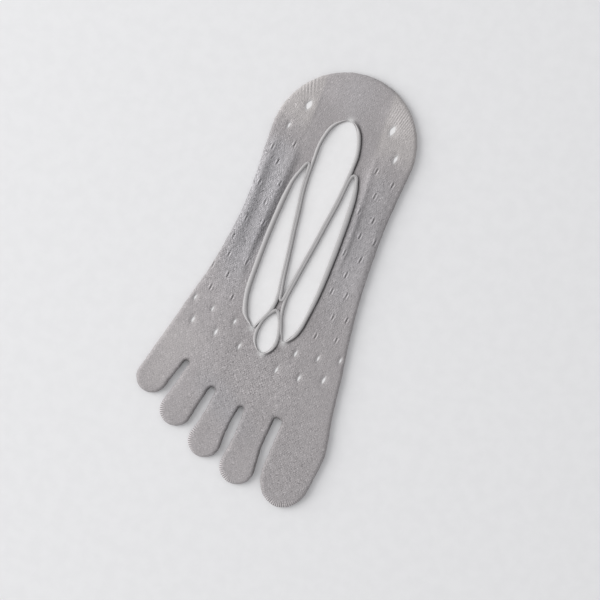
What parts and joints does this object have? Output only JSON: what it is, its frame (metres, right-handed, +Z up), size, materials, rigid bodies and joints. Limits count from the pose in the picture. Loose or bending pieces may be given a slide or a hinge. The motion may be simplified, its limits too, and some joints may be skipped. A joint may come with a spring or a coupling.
{
  "type": "toe sock on a foot-shaped card",
  "caption": "Flat toe sock in light grey knit, its instep open between narrow rolled-edge straps that meet above a small loop, stretched over a foot-shaped card that fills it.",
  "frame": {"origin": "under the middle of the sock's own bounds, on the ground that the sole lies on", "axes": "+Y from the toes to the heel, +X to the big toe's side, +Z up out of the instep"},
  "size_m": [0.1036, 0.2198, 0.0054],
  "materials": {
    "grey_knit": "fine matt knit",
    "grey_rolled_knit": "fine matt knit, rolled",
    "white_card": "smooth matt card"
  },
  "bodies": {
    "root": {"sock_body": "grey_knit", "instep_straps": "grey_knit", "centre_opening_welt": "grey_rolled_knit", "lateral_opening_welt": "grey_rolled_knit", "medial_opening_welt": "grey_rolled_knit", "toe_end_opening_welt": "grey_rolled_knit", "form_card": "white_card"}
  },
  "joints": []
}
